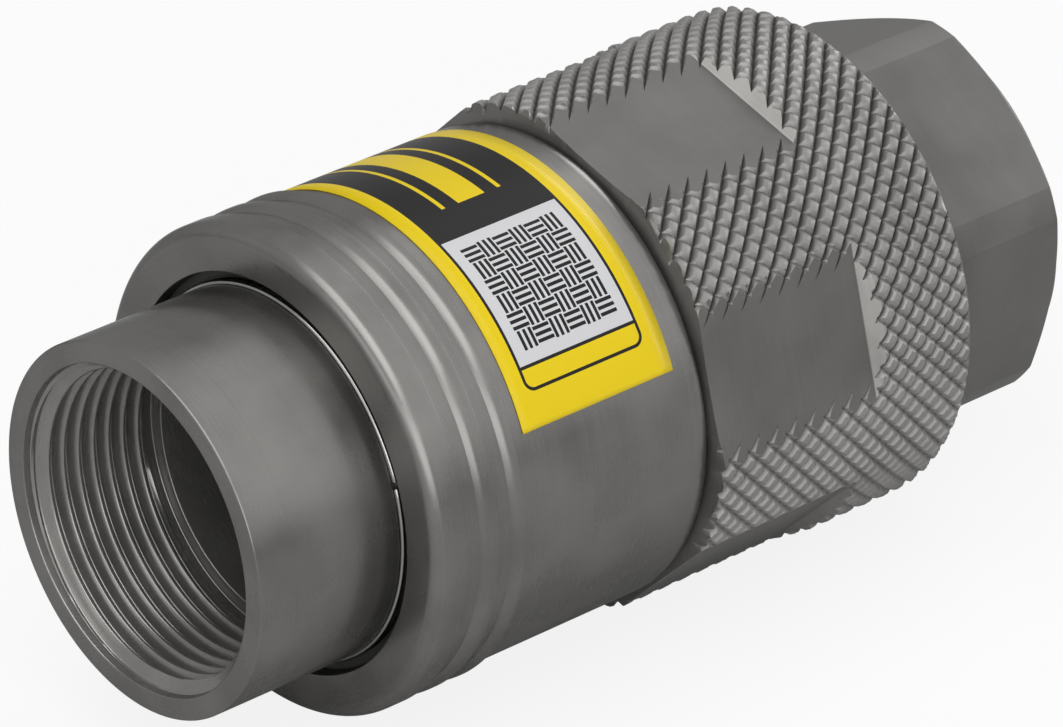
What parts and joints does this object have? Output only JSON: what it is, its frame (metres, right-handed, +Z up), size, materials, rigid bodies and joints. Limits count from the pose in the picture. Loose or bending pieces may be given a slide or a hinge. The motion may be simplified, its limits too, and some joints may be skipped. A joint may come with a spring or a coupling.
{
  "type": "hydraulic quick coupling",
  "caption": "Screw-to-connect hydraulic quick coupling with two threaded pipe ports, a knurled locking nut and flat-face valves that open as the halves are screwed together.",
  "frame": {"origin": "centre of the mouth of the rear port, on the female half", "axes": "+X along the coupling's axis from the rear port to the front port tube, +Z up as the picture shows the coupling lying, +Y to the side the picture is taken from"},
  "size_m": [0.131, 0.0658, 0.066],
  "materials": {
    "plated_steel": "satin zinc-nickel plating",
    "turned_steel": "fine turned",
    "spring_steel": "bright drawn wire",
    "bronze": "turned bearing bronze",
    "rubber": "matt black",
    "plastic": "matt white"
  },
  "bodies": {
    "female_half": {"female_port_body": "plated_steel", "female_socket": "turned_steel", "female_body_seal": "rubber", "socket_seal": "rubber", "socket_backup_ring": "plastic", "stem_guide": "turned_steel", "valve_stem": "turned_steel", "stem_nut": "plated_steel", "stem_seal": "rubber", "valve_sleeve_spring": "spring_steel", "nut_bearing_ring": "bronze"},
    "locking_nut": {"locking_nut": "plated_steel"},
    "valve_sleeve": {"valve_sleeve": "turned_steel"},
    "male_half": {"male_port_tube": "plated_steel", "male_front_body": "plated_steel", "male_body_seal": "rubber", "label_sleeve": "plated_steel", "sleeve_retaining_ring": "spring_steel", "poppet_guide": "turned_steel", "poppet_spring": "spring_steel"},
    "poppet": {"poppet": "turned_steel", "poppet_seal": "rubber"}
  },
  "joints": [
    {"name": "nut_turn", "type": "hinge", "parent": "female_half", "child": "locking_nut", "pos_m": [0.0444, 0, 0], "axis": [-1, 0, 0], "range_deg": [0, 1260]},
    {"name": "male_half_slide", "type": "slide", "parent": "female_half", "child": "male_half", "axis": [1, 0, 0], "range_m": [0, 0.014]},
    {"name": "valve_sleeve_slide", "type": "slide", "parent": "female_half", "child": "valve_sleeve", "axis": [1, 0, 0], "range_m": [0, 0.014], "deforming": ["valve_sleeve_spring"]},
    {"name": "poppet_slide", "type": "slide", "parent": "male_half", "child": "poppet", "axis": [-1, 0, 0], "range_m": [0, 0.014], "deforming": ["poppet_spring"]}
  ],
  "couplings": [
    {"joint": "male_half_slide", "follows": "nut_turn", "m_per_rad": 0.0006366},
    {"joint": "valve_sleeve_slide", "follows": "nut_turn", "m_per_rad": 0.0006366},
    {"joint": "poppet_slide", "follows": "nut_turn", "m_per_rad": 0.0006366}
  ]
}
